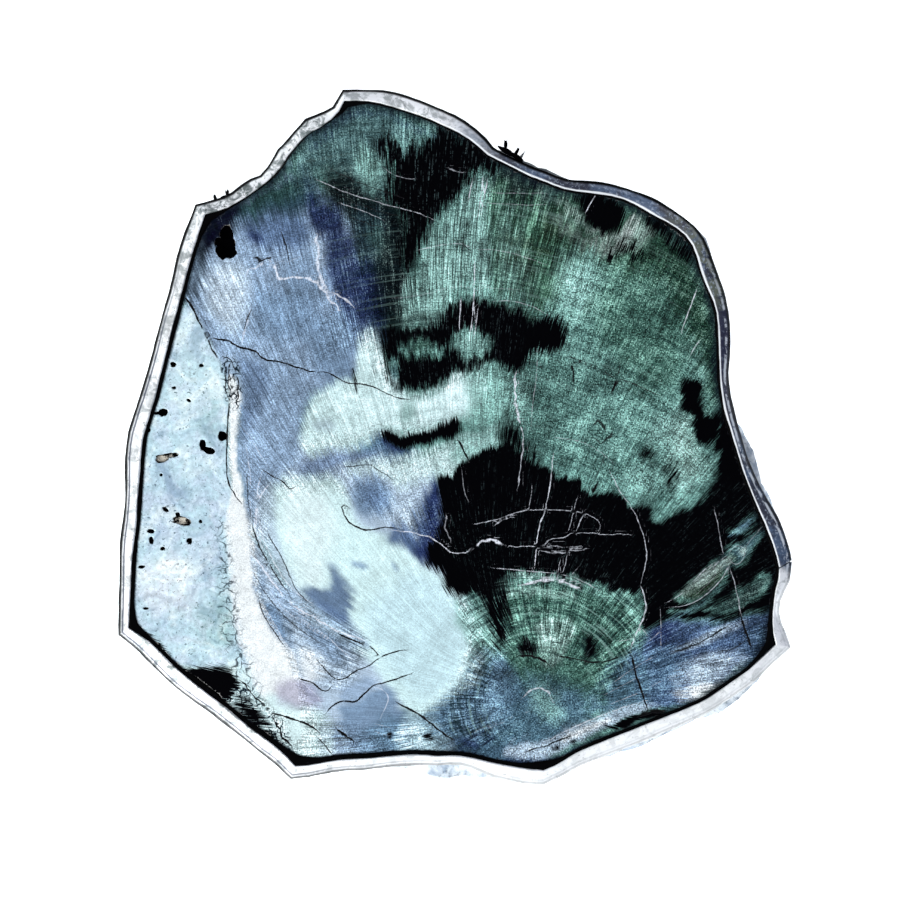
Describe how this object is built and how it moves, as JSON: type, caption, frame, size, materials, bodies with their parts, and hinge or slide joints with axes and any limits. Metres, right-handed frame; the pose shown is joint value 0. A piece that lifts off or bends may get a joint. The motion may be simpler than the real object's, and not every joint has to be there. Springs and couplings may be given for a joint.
{
  "type": "mounted petrified wood section",
  "caption": "Polished cross-section of petrified wood with growth rings, edged with a bent metal strip bedded in dark putty; lies flat on its sawn back.",
  "frame": {"origin": "middle of the whole object's footprint, on the plane of the sawn back", "axes": "+Z out of the polished face, +Y toward the narrow end of the slice, which is at the top of the picture, +X to the picture's right"},
  "size_m": [0.304, 0.3134, 0.0276],
  "materials": {
    "petrified_wood": "polished silicified wood: teal, slate and pale icy bands with black patches, fine rays and growth rings; rough at the side, sawn at the back",
    "strip_metal": "pale soft metal strip with a satin face, grey specks and darker tarnish on the right side",
    "putty": "matt black bedding putty"
  },
  "bodies": {
    "root": {"petrified_wood_slab": "petrified_wood", "rim_strip": "strip_metal", "bedding_putty": "putty"}
  },
  "joints": []
}
